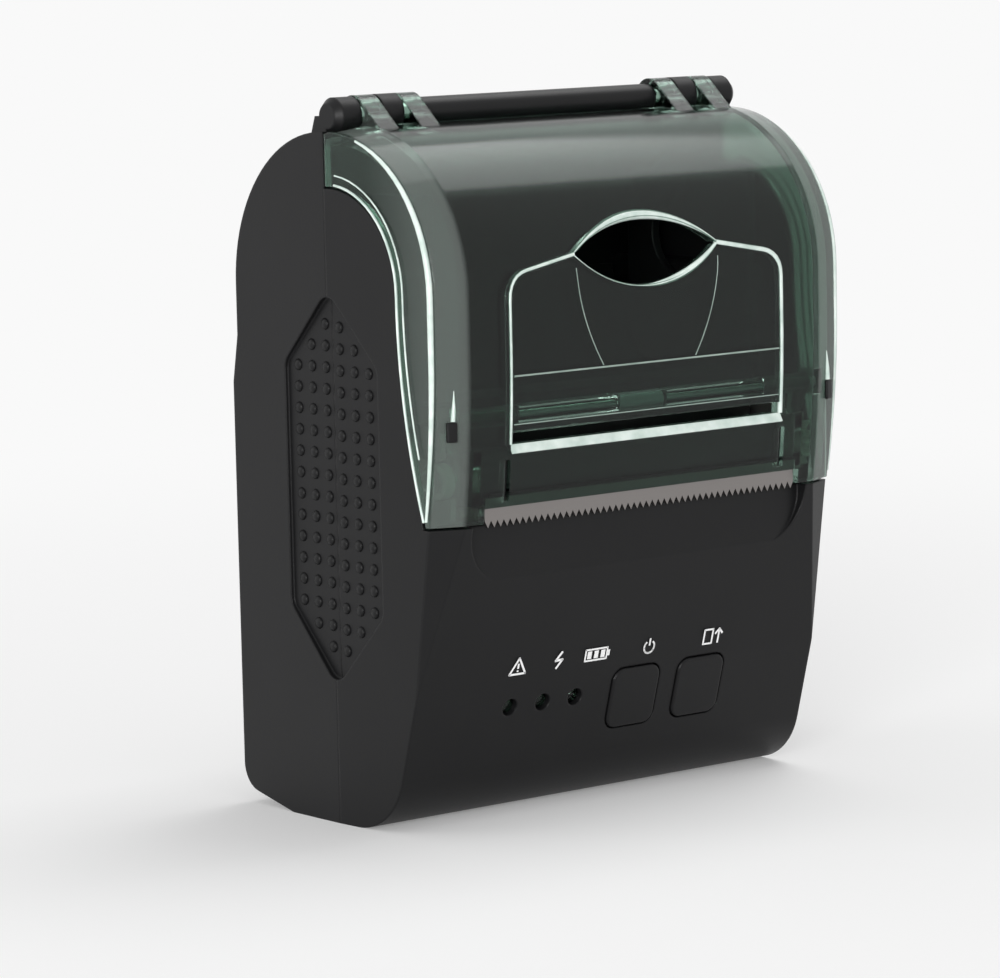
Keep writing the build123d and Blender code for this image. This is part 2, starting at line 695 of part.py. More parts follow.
# Hinge rod, and the sleeve round its middle
rod_half = knob[1] - 2.0
save(disc((-rod_half, rod_half), hinge, rod_radius), "hinge_rod")
with BuildPart() as hinge_sleeve:
    add(disc((-sleeve_half, sleeve_half), hinge, sleeve_radius))
    add(disc((-sleeve_half, sleeve_half), hinge, rod_radius + fit), mode=Mode.SUBTRACT)
save(hinge_sleeve.part, "hinge_sleeve")

# Tear bar
tooth_count = round(2 * blade_half / tooth_pitch)
tooth_step = 2 * blade_half / tooth_count
edge_points = [(-blade_half, blade_top_z), (-blade_half, blade_root_z)]
for tooth in range(tooth_count):
    left = -blade_half + tooth * tooth_step
    edge_points += [(left + tooth_step / 2, blade_tip_z), (left + tooth_step, blade_root_z)]
edge_points.append((blade_half, blade_top_z))
with BuildPart() as tear_bar:
    extrude(outline(Plane.XZ.offset(-(blade_y - blade_thick / 2)), edge_points), amount=-blade_thick)
save(tear_bar.part, "tear_bar")

# Platen: rubber roller, steel shaft, two bushes and its gear
shaft_low = -(plate_in + plate_thick + 0.6)
shaft_high = gear_in + gear_width + 0.3
press = 0.02
with BuildPart() as platen_roller:
    add(disc((-platen_half, platen_half), platen, platen_radius))
    add(disc((-platen_half, platen_half), platen, shaft_radius + press), mode=Mode.SUBTRACT)
save(platen_roller.part, "platen_roller")
save(disc((shaft_low, shaft_high), platen, shaft_radius), "platen_shaft")
with BuildPart() as platen_bushes:
    for side in both((platen_half + 0.3, plate_in + plate_thick + 0.1)):
        add(disc(side, platen, bush_radius - press))
        add(disc(side, platen, shaft_radius + fit), mode=Mode.SUBTRACT)
save(platen_bushes.part, "platen_bushes")


# Gear train from the motor to the platen
def polar(centre, radius, angle):
    """A point at an angle round a centre, in the side view."""
    return (centre[0] + radius * cos(angle), centre[1] + radius * sin(angle))


def gear(centre, teeth, phase, bore):
    """A spur gear with straight-flanked teeth; phase is the angle of its first tooth."""
    pitch_radius = teeth * gear_module / 2
    tip_radius = pitch_radius + 0.9 * gear_module
    root_radius = pitch_radius - 1.2 * gear_module
    half_pitch = 0.88 * pi * gear_module / 4
    points = []
    for tooth in range(teeth):
        angle = phase + 2 * pi * tooth / teeth
        root_turn = 1.35 * half_pitch / root_radius
        tip_turn = 0.55 * half_pitch / tip_radius
        points += [polar(centre, root_radius, angle - root_turn), polar(centre, tip_radius, angle - tip_turn),
                   polar(centre, tip_radius, angle + tip_turn), polar(centre, root_radius, angle + root_turn)]
    with BuildPart() as part:
        extrude(outline(Plane.YZ.offset(gear_in), points), amount=gear_width)
        add(disc((gear_in, gear_in + gear_width), centre, bore), mode=Mode.SUBTRACT)
    return part.part


def meshing_phase(phase, teeth, way, next_teeth):
    """First tooth of the next gear, so that its gap meets a tooth of this one."""
    part_tooth = ((way - phase) * teeth / (2 * pi)) % 1
    return way + pi - (0.5 - part_tooth) * 2 * pi / next_teeth


open_way = atan2(hinge_z - platen_z, hinge_y - platen_y) - pi / 2
idler_way = open_way
idler = polar(platen, (platen_teeth + idler_teeth) * gear_module / 2, idler_way)
motor_way = radians(-75)
motor = polar(idler, (idler_teeth + pinion_teeth) * gear_module / 2, motor_way)
platen_phase = idler_way
idler_phase = meshing_phase(platen_phase, platen_teeth, idler_way, idler_teeth)
pinion_phase = meshing_phase(idler_phase, idler_teeth, motor_way, pinion_teeth)
save(gear(platen, platen_teeth, platen_phase, shaft_radius + press), "platen_gear")
save(gear(idler, idler_teeth, idler_phase, idler_pin_radius + fit), "idler_gear")
save(gear(motor, pinion_teeth, pinion_phase, motor_shaft_radius + press), "motor_pinion")

with BuildPart() as idler_pin:
    add(disc((plate_in, gear_in + gear_width + 0.1), idler, idler_pin_radius))
    add(disc((gear_in + gear_width + 0.1, gear_in + gear_width + 0.5), idler, idler_pin_radius + 0.8))
    add(disc((plate_in + plate_thick, gear_in - 0.1), idler, idler_pin_radius + 0.8))
save(idler_pin.part, "idler_pin")

with BuildPart() as stepper_motor:
    add(disc((plate_in - motor_length, plate_in - 0.8), motor, motor_radius))
    add(disc((plate_in - 0.8, plate_in), motor, motor_radius - 1))
    add(disc((plate_in, plate_in + plate_thick), motor, 2.2))
    add(disc((plate_in - 8, plate_in + plate_thick), motor, motor_shaft_radius + fit), mode=Mode.SUBTRACT)
save(stepper_motor.part, "stepper_motor")
save(disc((plate_in - 7.9, gear_in + gear_width + 0.2), motor, motor_shaft_radius), "motor_shaft")

# Print head, its heat sink and springs, and the folded frame behind them
head_way = radians(-45)
head_centre = polar(platen, platen_radius + head_gap, head_way)
head_plane = Plane(origin=(0, *head_centre), x_dir=(1, 0, 0), z_dir=(0, cos(head_way), sin(head_way)))

with BuildPart() as print_head:
    with BuildSketch(head_plane) as substrate:
        Rectangle(2 * platen_half + 1.0, 8.0)
    extrude(amount=head_thick)
    with BuildSketch(head_plane) as driver:
        with Locations((0, 3.1)):
            Rectangle(2 * platen_half - 6, 1.4)
    extrude(amount=-0.5)
save(print_head.part, "print_head")

with BuildPart() as head_heat_sink:
    with BuildSketch(head_plane.offset(head_thick)) as sink:
        Rectangle(2 * plate_in - 0.6, 9.0)
    extrude(amount=sink_thick)
    for y in (-3.0, -1.0, 1.0, 3.0):
        with BuildSketch(head_plane.offset(head_thick + 1.2)) as groove:
            for side in both((21.5, plate_in)):
                with Locations(((side[0] + side[1]) / 2, y)):
                    Rectangle(side[1] - side[0] + 1, 0.9)
        extrude(amount=sink_thick, mode=Mode.SUBTRACT)
save(head_heat_sink.part, "head_heat_sink")

spring_x = (-20.0, -5.0, 10.0)
with BuildPart() as head_springs:
    with BuildSketch(head_plane.offset(head_thick + sink_thick)) as coils:
        for x in spring_x:
            with Locations((x, 0)):
                Circle(1.8)
                Circle(1.2, mode=Mode.SUBTRACT)
    extrude(amount=spring_length)
save(head_springs.part, "head_springs")

side_view = [(-14.5, 34.0), (1.5, 34.0), (1.5, 54.4), (-8.0, 54.4), (-12.0, 57.0), (-16.2, 57.0), (-16.2, 52.0),
             (-18.2, 50.0), (-18.2, 44.4), (-14.5, 41.0)]
notch_way = open_way + pi
with BuildPart() as mechanism_frame:
    for side in both((plate_in, plate_in + plate_thick)):
        extrude(outline(Plane.YZ.offset(side[0]), side_view), amount=side[1] - side[0])
        with BuildSketch(Plane.YZ.offset(side[0])) as notch:
            with Locations(platen):
                Circle(bush_radius + 0.3)
            with Locations(polar(platen, 4.0, notch_way)):
                Rectangle(8.0, 2 * bush_radius + 0.6, rotation=degrees(notch_way))
        extrude(amount=side[1] - side[0], mode=Mode.SUBTRACT)
    with BuildSketch(head_plane.offset(head_thick + sink_thick + spring_length)) as back_sheet:
        with Locations((0, -7.3)):
            Rectangle(2 * plate_in + 1, 3.4)
        with Locations((-plate_in / 2 + 7.5, -2.0)):
            Rectangle(plate_in + 16, 14.0)
    extrude(amount=frame_sheet)
    add(disc((plate_in - 1, plate_in + plate_thick + 1), motor, 2.2 + press), mode=Mode.SUBTRACT)
    add(disc((plate_in - 1, plate_in + plate_thick + 1), idler, idler_pin_radius + press), mode=Mode.SUBTRACT)
save(mechanism_frame.part, "mechanism_frame")

with BuildPart() as paper_sensor:
    with BuildSketch(Plane.XZ.offset(-(chute_y + 1.3))) as sensor:
        with Locations((-9.0, 52.6)):
            RectangleRounded(4.4, 3.2, 0.4)
    extrude(amount=-2.4)
save(paper_sensor.part, "paper_sensor")

# Control panel: buttons, light pipes and the board with its switches, lamps and socket
switch_high = 1.9
switch_plunger = 0.5
for name, x in (("power_button", button_x[0]), ("feed_button", button_x[1])):
    with BuildPart() as button:
        with BuildSketch(panel.offset(button_proud)) as cap:
            with Locations((x, 0)):
                RectangleRounded(button_width, button_height, button_corner)
        extrude(amount=-(button_proud + wall + 1.0))
        fillet(button.faces().sort_by(Axis.Y)[0].edges(), radius=0.3)
        with BuildSketch(panel.offset(-(wall + 0.2))) as flange:
            with Locations((x, 0)):
                RectangleRounded(button_width + 1.6, button_height + 1.6, button_corner + 0.8)
        extrude(amount=-0.8)
        with BuildSketch(panel.offset(-(wall + 1.0))) as stem:
            with Locations((x, 0)):
                Circle(1.6)
        extrude(amount=-(board_depth - wall - 1.0 - switch_high - switch_plunger - button_travel - 0.1))
    save(button.part, name)

with BuildPart() as light_pipes:
    with BuildSketch(panel.offset(-0.9)) as pipe:
        for x in led_x:
            with Locations((x, led_rise)):
                Circle(led_radius - 0.08)
    extrude(amount=-(board_depth - 0.9 - 1.0))
save(light_pipes.part, "light_pipes")

with BuildPart() as status_leds:
    with BuildSketch(panel.offset(-board_depth)) as lamps:
        for x in led_x:
            with Locations((x, led_rise)):
                Rectangle(2.0, 1.25)
    extrude(amount=0.8)
save(status_leds.part, "status_leds")

with BuildPart() as tact_switches:
    for x in button_x:
        with BuildSketch(panel.offset(-board_depth)) as case:
            with Locations((x, 0)):
                RectangleRounded(6.0, 6.0, 0.6)
        extrude(amount=switch_high)
        with BuildSketch(panel.offset(-board_depth + switch_high)) as plunger:
            with Locations((x, 0)):
                Circle(1.5)
        extrude(amount=switch_plunger)
save(tact_switches.part, "tact_switches")

with BuildPart() as main_board:
    with BuildSketch(panel.offset(-board_depth)) as board:
        with Locations((0, (board_low + board_high) / 2)):
            RectangleRounded(2 * board_half, board_high - board_low, 1.0)
    extrude(amount=-board_thick)
save(main_board.part, "main_board")

with BuildPart() as usb_socket:
    socket_end = half_width - 1.4
    with BuildSketch(panel.offset(-(board_depth + board_thick))) as case:
        with Locations((socket_end - 3.0, port_rise)):
            Rectangle(6.0, port_length)
    extrude(amount=-port_depth)
    with BuildSketch(panel.offset(-(board_depth + board_thick + 0.4))) as mouth:
        with Locations((socket_end - 2.0, port_rise)):
            Rectangle(4.2, port_length - 0.8)
    extrude(amount=-(port_depth - 0.8), mode=Mode.SUBTRACT)
save(usb_socket.part, "usb_socket")

# Case screws, driven in from the back
with BuildPart() as case_screws:
    for x in (-screw_x, screw_x):
        for z, face_y in ((screw_low_z, back_y), (screw_high_z, upper_back_y)):
            seat_y = face_y - 3.0
            with BuildSketch(Plane.XZ.offset(-seat_y)) as shank:
                with Locations((x, z)):
                    Circle(screw_radius - press)
            extrude(amount=seat_y - seam_y + 7.0)
            with BuildSketch(Plane.XZ.offset(-seat_y)) as head:
                with Locations((x, z)):
                    Circle(screw_head_radius)
            extrude(amount=-1.3)
            with BuildSketch(Plane.XZ.offset(-(seat_y + 1.3))) as drive:
                with Locations((x, z)):
                    Rectangle(2.4, 0.5)
                    Rectangle(0.5, 2.4)
            extrude(amount=0.7, mode=Mode.SUBTRACT)
save(case_screws.part, "case_screws")
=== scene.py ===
from math import cos, pi, radians, sin, sqrt

import bpy
from mathutils import Matrix, Vector


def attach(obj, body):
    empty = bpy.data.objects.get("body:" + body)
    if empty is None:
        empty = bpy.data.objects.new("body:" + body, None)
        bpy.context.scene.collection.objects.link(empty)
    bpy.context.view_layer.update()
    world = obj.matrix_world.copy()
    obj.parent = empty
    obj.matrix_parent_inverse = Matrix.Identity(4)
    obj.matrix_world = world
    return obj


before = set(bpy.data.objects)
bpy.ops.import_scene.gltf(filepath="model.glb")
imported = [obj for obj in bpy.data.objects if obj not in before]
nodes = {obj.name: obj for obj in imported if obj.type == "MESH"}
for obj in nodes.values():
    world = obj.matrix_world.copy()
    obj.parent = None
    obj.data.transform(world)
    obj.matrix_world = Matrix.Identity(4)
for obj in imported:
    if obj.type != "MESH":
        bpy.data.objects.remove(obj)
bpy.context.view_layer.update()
mm = 0.001       # one millimetre in metres
print("stage: frame loaded,", len(nodes), "nodes")


# Colours are written as sRGB hex and handed to Blender as linear values
def linear(hexColour):
    channels = [int(hexColour[i:i + 2], 16) / 255 for i in (1, 3, 5)]
    return tuple(c / 12.92 if c <= 0.04045 else ((c + 0.055) / 1.055) ** 2.4 for c in channels) + (1.0,)


# Adds one node: settings are properties or input values, and links lead (node, output) into an input.
# Inputs and outputs go by name, or by number where a node has several of one name
def addNode(tree, kind, settings=None, links=None):
    node = tree.nodes.new(kind)
    for name, value in (settings or {}).items():
        if isinstance(name, int) or name in node.inputs:
            node.inputs[name].default_value = value
        else:
            setattr(node, name, value)
    for name, (source, output) in (links or {}).items():
        tree.links.new(source.outputs[output], node.inputs[name])
    return node


def newMaterial(name):
    material = bpy.data.materials.new(name)
    material.use_nodes = True
    material.node_tree.nodes.clear()
    return material, material.node_tree


materials = {}
mixColour = {"first": 6, "second": 7, "result": 2}       # the Mix node's own numbers for its colour sockets

blackAbs = {
    "colour": "#0e0e0f", "worn": "#141415", "roughness": (0.37, 0.48), "specular": 0.19, "ior": 1.53,
    "grain": 0.32 * mm,          # spark-eroded texture of the mould, drawn a little coarse so that it shows
    "grainHeight": 0.010 * mm, "grainStrength": 0.7,
    "cloud": 14 * mm,            # size of the patches where the black wanders
    "edge": 0.45 * mm,           # radius of the moulded corners
}


# Moulded ABS: satin black, its corners soft and its skin finely grained, so that highlights are broken up
def makeMouldedAbs(name, finish):
    material, tree = newMaterial(name)
    place = addNode(tree, "ShaderNodeTexCoord")
    grain = addNode(tree, "ShaderNodeTexNoise",
                    {"Scale": 1 / finish["grain"], "Detail": 2.0, "Roughness": 0.6},
                    {"Vector": (place, "Object")})
    cloud = addNode(tree, "ShaderNodeTexNoise", {"Scale": 1 / finish["cloud"], "Detail": 3.0},
                    {"Vector": (place, "Object")})
    soft = addNode(tree, "ShaderNodeBevel", {"samples": 6, "Radius": finish["edge"]})
    bump = addNode(tree, "ShaderNodeBump",
                   {"Strength": finish["grainStrength"], "Distance": finish["grainHeight"]},
                   {"Height": (grain, "Fac"), "Normal": (soft, "Normal")})
    tint = addNode(tree, "ShaderNodeMix",
                   {"data_type": "RGBA", mixColour["first"]: linear(finish["colour"]),
                    mixColour["second"]: linear(finish["worn"])}, {"Factor": (cloud, "Fac")})
    smoothest, roughest = finish["roughness"]
    rough = addNode(tree, "ShaderNodeMapRange", {"To Min": smoothest, "To Max": roughest},
                    {"Value": (grain, "Fac")})
    shader = addNode(tree, "ShaderNodeBsdfPrincipled",
                     {"IOR": finish["ior"], "Specular IOR Level": finish["specular"]},
                     {"Base Color": (tint, mixColour["result"]), "Roughness": (rough, "Result"),
                      "Normal": (bump, "Normal")})
    addNode(tree, "ShaderNodeOutputMaterial", links={"Surface": (shader, "BSDF")})
    materials[name] = material


makeMouldedAbs("mouldedBlackAbs", blackAbs)
# The sleeve and the buttons come from a polished mould, so they shine a little more
makeMouldedAbs("polishedBlackAbs", {**blackAbs, "roughness": (0.29, 0.40), "grainHeight": 0.004 * mm})

smokedClear = {
    "colour": "#7f9a8d", "roughness": 0.12,
    "ior": 1.33,       # under polycarbonate's 1.58, so that the front stays dark
    "edge": 0.40 * mm, "grain": 0.25 * mm, "grainHeight": 0.0012 * mm, "grainStrength": 0.5,
    # frost with painted sheen: a pale grey mixed over the side bevels stands in for their silvery reflection
    "frostAndSheen": 0.22, "frostAndSheenColour": "#98a19c", "frostRoughness": 0.55,       # the frosted side bevels
    "frostFrom": (32.4 * mm, 33.2 * mm),       # where the frost fades in, measured from the middle
    "frostTo": (37.1 * mm, 37.7 * mm),         # and where it fades out
}


# Moulded polycarbonate with a smoke-green dye: the front looks dark and green, and the frosted side bevels
# turn a soft grey, whose pale colour also paints in the silvery sheen that they show
def makeSmokedPolycarbonate(name, finish):
    material, tree = newMaterial(name)
    place = addNode(tree, "ShaderNodeTexCoord")
    grain = addNode(tree, "ShaderNodeTexNoise", {"Scale": 1 / finish["grain"], "Detail": 1.0},
                    {"Vector": (place, "Object")})
    soft = addNode(tree, "ShaderNodeBevel", {"samples": 4, "Radius": finish["edge"]})
    bump = addNode(tree, "ShaderNodeBump",
                   {"Strength": finish["grainStrength"], "Distance": finish["grainHeight"]},
                   {"Height": (grain, "Fac"), "Normal": (soft, "Normal")})
    clear = addNode(tree, "ShaderNodeBsdfPrincipled",
                    {"Base Color": linear(finish["colour"]), "Roughness": finish["roughness"],
                     "IOR": finish["ior"], "Transmission Weight": 1.0}, {"Normal": (bump, "Normal")})
    axes = addNode(tree, "ShaderNodeSeparateXYZ", links={"Vector": (place, "Object")})
    fromMiddle = addNode(tree, "ShaderNodeMath", {"operation": "ABSOLUTE"}, {0: (axes, "X")})
    start, end = finish["frostFrom"]
    fadeIn = addNode(tree, "ShaderNodeMapRange",
                     {"From Min": start, "From Max": end, "To Max": finish["frostAndSheen"]},
                     {"Value": (fromMiddle, "Value")})
    start, end = finish["frostTo"]
    fadeOut = addNode(tree, "ShaderNodeMapRange",
                      {"From Min": start, "From Max": end, "To Min": 1.0, "To Max": 0.0},
                      {"Value": (fromMiddle, "Value")})
    share = addNode(tree, "ShaderNodeMath", {"operation": "MULTIPLY"},
                    {0: (fadeIn, "Result"), 1: (fadeOut, "Result")})
    # The frost's pale grey, which also paints in the side bevels' sheen
    frostedWithSheen = addNode(tree, "ShaderNodeBsdfPrincipled",
                      {"Base Color": linear(finish["frostAndSheenColour"]), "Roughness": finish["frostRoughness"]})
    blend = addNode(tree, "ShaderNodeMixShader",
                    links={"Fac": (share, "Value"), 1: (clear, "BSDF"), 2: (frostedWithSheen, "BSDF")})
    addNode(tree, "ShaderNodeOutputMaterial", links={"Surface": (blend, "Shader")})
    materials[name] = material


makeSmokedPolycarbonate("smokedPolycarbonate", smokedClear)

metalGrain = {"alongX": 0.04, "height": 0.01 * mm, "strength": 0.35}
metals = {
    # Ground rods and pins: bright, with close even lines
    "groundSteel": {"colour": "#b9babd", "roughness": (0.22, 0.40), "grain": 0.08 * mm},
    # Stamped sheet: duller, with the mill's coarser grain
    "stampedSteel": {"colour": "#a9a6a3", "roughness": (0.34, 0.52), "grain": 0.12 * mm},
    # The hardened tear bar: a darker warm grey
    "darkBladeSteel": {"colour": "#85817f", "roughness": (0.28, 0.46), "grain": 0.12 * mm},
    # Extruded heat sink: pale, with soft lines from the die
    "extrudedAluminium": {"colour": "#c9cbcd", "roughness": (0.30, 0.48), "grain": 0.15 * mm},
    # The turned pinion: yellow, with the fine marks of the tool
    "turnedBrass": {"colour": "#d3b16a", "roughness": (0.20, 0.38), "grain": 0.08 * mm},
}


# Metals: a fine grain runs along X, as drawn, stamped or ground stock has it, and stretches the highlights
def makeMetal(name, finish):
    material, tree = newMaterial(name)
    place = addNode(tree, "ShaderNodeTexCoord")
    along = addNode(tree, "ShaderNodeMapping", {"Scale": (metalGrain["alongX"], 1.0, 1.0)},
                    {"Vector": (place, "Object")})
    lines = addNode(tree, "ShaderNodeTexNoise", {"Scale": 1 / finish["grain"], "Detail": 3.0},
                    {"Vector": (along, "Vector")})
    bump = addNode(tree, "ShaderNodeBump",
                   {"Strength": metalGrain["strength"], "Distance": metalGrain["height"]},
                   {"Height": (lines, "Fac")})
    smoothest, roughest = finish["roughness"]
    rough = addNode(tree, "ShaderNodeMapRange", {"To Min": smoothest, "To Max": roughest},
                    {"Value": (lines, "Fac")})
    shader = addNode(tree, "ShaderNodeBsdfPrincipled",
                     {"Base Color": linear(finish["colour"]), "Metallic": 1.0},
                     {"Roughness": (rough, "Result"), "Normal": (bump, "Normal")})
    addNode(tree, "ShaderNodeOutputMaterial", links={"Surface": (shader, "BSDF")})
    materials[name] = material


for name, finish in metals.items():
    makeMetal(name, finish)

mottling = {"stops": (0.35, 0.65), "strength": 0.5}       # where the noise turns one colour into the other
mottled = {
    # The ground platen roller: a dull, faintly rough near-black
    "groundRubber": {"colours": ("#1a1a1a", "#242424"), "roughness": 0.75, "ior": 1.52,
                     "grain": 0.20 * mm, "height": 0.02 * mm},
    # Gears and bushes: milky white with a soft sheen
    "mouldedAcetal": {"colours": ("#e2e1da", "#d8d7cf"), "roughness": 0.40, "ior": 1.48,
                      "grain": 2.0 * mm, "height": 0.01 * mm},
    # The print head's plate: glossy ivory glaze
    "glazedCeramic": {"colours": ("#d9d4c4", "#cfc9b8"), "roughness": 0.25, "ior": 1.6,
                      "grain": 1.5 * mm, "height": 0.005 * mm},
    # Solder lacquer on the board: deep green, uneven where it flowed
    "boardLacquer": {"colours": ("#1b5a33", "#17502c"), "roughness": 0.35, "ior": 1.52,
                     "grain": 1.2 * mm, "height": 0.02 * mm},
    # Shrunk film round the battery: dark blue with long soft ripples
    "shrinkFilm": {"colours": ("#2c3a52", "#273449"), "roughness": 0.32, "ior": 1.5,
                   "grain": 6.0 * mm, "height": 0.15 * mm},
    # Cast lens of a status lamp: cloudy white
    "ledLens": {"colours": ("#e6e4da", "#dcdacd"), "roughness": 0.30, "ior": 1.5,
                "grain": 0.8 * mm, "height": 0.01 * mm},
    # Painted highlights: pale green beads along the clear cover's rims, lens, band edges, seams, latch and
    # sill stand in for the light that these edges catch
    "paintedHighlight": {"colours": ("#dbe6e0", "#bccdc5"), "roughness": 0.20, "ior": 1.585,
                "grain": 3.0 * mm, "height": 0.01 * mm},
    # Lines moulded into the clear lever, painted pale as fainter highlights
    "faintPaintedHighlight": {"colours": ("#93a59c", "#7c8f86"), "roughness": 0.25, "ior": 1.585,
                  "grain": 3.0 * mm, "height": 0.01 * mm},
    # Pad-printed signs: flat white, a little thin in places
    "whiteInk": {"colours": ("#f2f2f2", "#e8e8e8"), "roughness": 0.55, "ior": 1.5,
                 "grain": 0.3 * mm, "height": 0.01 * mm},
}


# Soft, coated or glowing stock whose colour wanders a little between two tones
def makeMottled(name, finish):
    material, tree = newMaterial(name)
    place = addNode(tree, "ShaderNodeTexCoord")
    spots = addNode(tree, "ShaderNodeTexNoise", {"Scale": 1 / finish["grain"], "Detail": 3.0},
                    {"Vector": (place, "Object")})
    ramp = addNode(tree, "ShaderNodeValToRGB", links={"Fac": (spots, "Fac")})
    for stop, position, colour in zip(ramp.color_ramp.elements, mottling["stops"], finish["colours"]):
        stop.position = position
        stop.color = linear(colour)
    bump = addNode(tree, "ShaderNodeBump", {"Strength": mottling["strength"], "Distance": finish["height"]},
                   {"Height": (spots, "Fac")})
    shader = addNode(tree, "ShaderNodeBsdfPrincipled",
                     {"Roughness": finish["roughness"], "IOR": finish["ior"]},
                     {"Base Color": (ramp, "Color"), "Normal": (bump, "Normal")})
    addNode(tree, "ShaderNodeOutputMaterial", links={"Surface": (shader, "BSDF")})
    materials[name] = material


for name, finish in mottled.items():
    makeMottled(name, finish)

wornBy = {
    "mouldedBlackAbs": ["rear_shell", "front_shell", "battery_cover", "paper_bucket", "paper_sensor"],
    "polishedBlackAbs": ["hinge_sleeve", "power_button", "feed_button", "tact_switches"],
    "smokedPolycarbonate": ["paper_cover", "release_lever", "light_pipes"],
    "groundSteel": ["hinge_rod", "lever_pin", "lever_spring", "head_springs", "idler_pin", "platen_shaft",
                    "motor_shaft", "case_screws"],
    "stampedSteel": ["mechanism_frame", "stepper_motor", "usb_socket"],
    "darkBladeSteel": ["tear_bar"],
    "extrudedAluminium": ["head_heat_sink"],
    "turnedBrass": ["motor_pinion"],
    "groundRubber": ["platen_roller"],
    "mouldedAcetal": ["platen_gear", "idler_gear", "platen_bushes"],
    "glazedCeramic": ["print_head"],
    "boardLacquer": ["main_board"],
    "shrinkFilm": ["battery_pack"],
    "ledLens": ["status_leds"],
}
for materialName, nodeNames in wornBy.items():
    for nodeName in nodeNames:
        slots = nodes[nodeName].data.materials
        slots.clear()
        slots.append(materials[materialName])
print("stage: materials set on", sum(len(nodeNames) for nodeNames in wornBy.values()), "nodes")


# Puts an object's place into its mesh, gives it its finish and lets it ride on a body
def settle(piece, name, materialName, body):
    bpy.ops.object.select_all(action="DESELECT")
    piece.select_set(True)
    bpy.context.view_layer.objects.active = piece
    bpy.ops.object.transform_apply(location=True, rotation=True, scale=True)
    piece.name = name
    piece.data.materials.clear()
    piece.data.materials.append(materials[materialName])
    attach(piece, body)


# Joins pieces into the first of them
def joinAll(pieces):
    bpy.ops.object.select_all(action="DESELECT")
    for piece in pieces:
        piece.select_set(True)
    bpy.context.view_layer.objects.active = pieces[0]
    bpy.ops.object.join()
    return bpy.context.view_layer.objects.active


gripDots = {
    "radius": 0.88 * mm, "height": 0.42 * mm, "sides": 12,
    "rings": (0.45, 0.80, 0.97),       # heights of the rings, as shares of the dot's height
    "tip": 0.22,                 # radius of the flat tip, as a share of the dot's radius
    "rowPitch": 3.037 * mm, "columnPitch": 3.206 * mm, "topRow": 70.5 * mm,
    "perRow": [2, 4] + [6] * 12 + [4, 2],
    "seamY": 0.7 * mm,
    "frontDrop": 0.33 * mm,      # the columns in front of the seam sit this much lower
    "floorX": 37.1 * mm,         # floor of the grip's recess
    "foot": 0.04 * mm,           # how deep a dot stands in that floor
}


# One dot: a disc extruded ring by ring into a low dome
def makeDot(finish):
    bpy.ops.object.select_all(action="DESELECT")
    bpy.ops.mesh.primitive_circle_add(vertices=finish["sides"], radius=finish["radius"], fill_type="NGON")
    dot = bpy.context.active_object
    bpy.ops.object.mode_set(mode="EDIT")
    bpy.ops.mesh.select_all(action="SELECT")
    level = 0.0
    radius = 1.0
    for rise in finish["rings"]:
        nextLevel = finish["height"] * rise
        nextRadius = finish["tip"] if rise == finish["rings"][-1] else sqrt(1 - rise ** 2)
        bpy.ops.mesh.extrude_region_move(TRANSFORM_OT_translate={"value": (0, 0, nextLevel - level)})
        bpy.ops.transform.resize(value=(nextRadius / radius, nextRadius / radius, 1))
        level = nextLevel
        radius = nextRadius
    bpy.ops.object.mode_set(mode="OBJECT")
    bpy.ops.object.shade_smooth()
    return dot


firstDot = makeDot(gripDots)
dots = []
for side in (1, -1):
    for row, count in enumerate(gripDots["perRow"]):
        for column in range(count):
            fromSeam = column - (count - 1) / 2
            drop = row * gripDots["rowPitch"] + (gripDots["frontDrop"] if fromSeam < 0 else 0)
            dot = firstDot.copy()
            dot.data = firstDot.data.copy()
            bpy.context.collection.objects.link(dot)
            dot.rotation_euler = (0, side * pi / 2, 0)
            dot.location = (side * (gripDots["floorX"] - gripDots["foot"]),
                            gripDots["seamY"] + fromSeam * gripDots["columnPitch"],
                            gripDots["topRow"] - drop)
            dots.append(dot)
bpy.data.objects.remove(firstDot)
settle(joinAll(dots), "gripDots", "mouldedBlackAbs", "housing")
print("stage: grip dots,", len(dots))

# The control panel's plane, with its origin in the middle of the buttons' row
panel = {"origin": Vector((0, -15.162, 14.9)) * mm, "slope": radians(16.07)}
panelUp = Vector((0, -sin(panel["slope"]), cos(panel["slope"])))
panelOut = Vector((0, -cos(panel["slope"]), -sin(panel["slope"])))
panelAcross = Vector((1, 0, 0))

# The open ring of the power sign, with its turns in degrees round from the top
powerRing = {"radius": 0.95, "sink": 0.15, "start": 40, "end": 320, "step": 14}
powerArc = [(powerRing["radius"] * sin(radians(turn)),
             powerRing["radius"] * cos(radians(turn)) - powerRing["sink"])
            for turn in range(powerRing["start"], powerRing["end"] + 1, powerRing["step"])]

